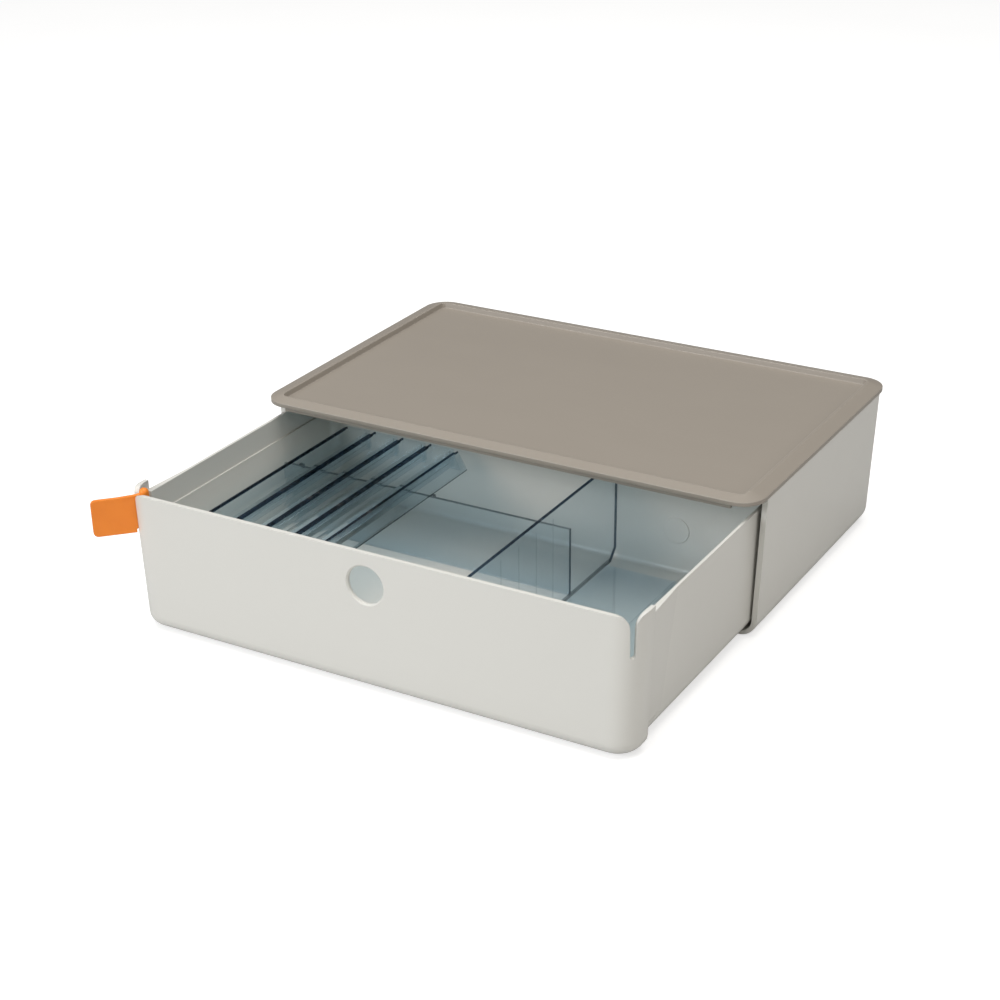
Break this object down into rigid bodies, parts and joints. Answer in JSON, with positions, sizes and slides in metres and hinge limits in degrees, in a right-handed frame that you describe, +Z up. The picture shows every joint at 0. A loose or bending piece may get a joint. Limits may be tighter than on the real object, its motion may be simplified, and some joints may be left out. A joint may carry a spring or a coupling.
{
  "type": "desktop drawer organiser",
  "caption": "Low desktop drawer box with a recessed lid, clear inserts in the drawer, a round finger hole and a rubber side tag.",
  "frame": {"origin": "on the table top, under the middle of the lid", "axes": "+X to the right seen from the drawer front, +Y to the back, +Z up; the drawer is part open at rest, as pictured"},
  "size_m": [0.3411, 0.3625, 0.0946],
  "materials": {
    "white_shell": "matte",
    "white_lid": "matte",
    "clear_blue": "polished",
    "orange_rubber": "matte",
    "foot_rubber": "matte"
  },
  "bodies": {
    "case": {"case_shell": "white_shell", "feet": "foot_rubber"},
    "lid": {"lid": "white_lid"},
    "drawer": {"drawer_tub": "white_shell", "pen_tray": "clear_blue", "cross_divider": "clear_blue", "long_divider": "clear_blue", "pull_tag": "orange_rubber"}
  },
  "joints": [
    {"name": "drawer_slide", "type": "slide", "parent": "case", "child": "drawer", "axis": [0, -1, 0], "range_m": [-0.136, 0.015]},
    {"name": "lid_lift", "type": "slide", "parent": "case", "child": "lid", "axis": [0, 0, 1], "range_m": [0, 0.12]}
  ]
}
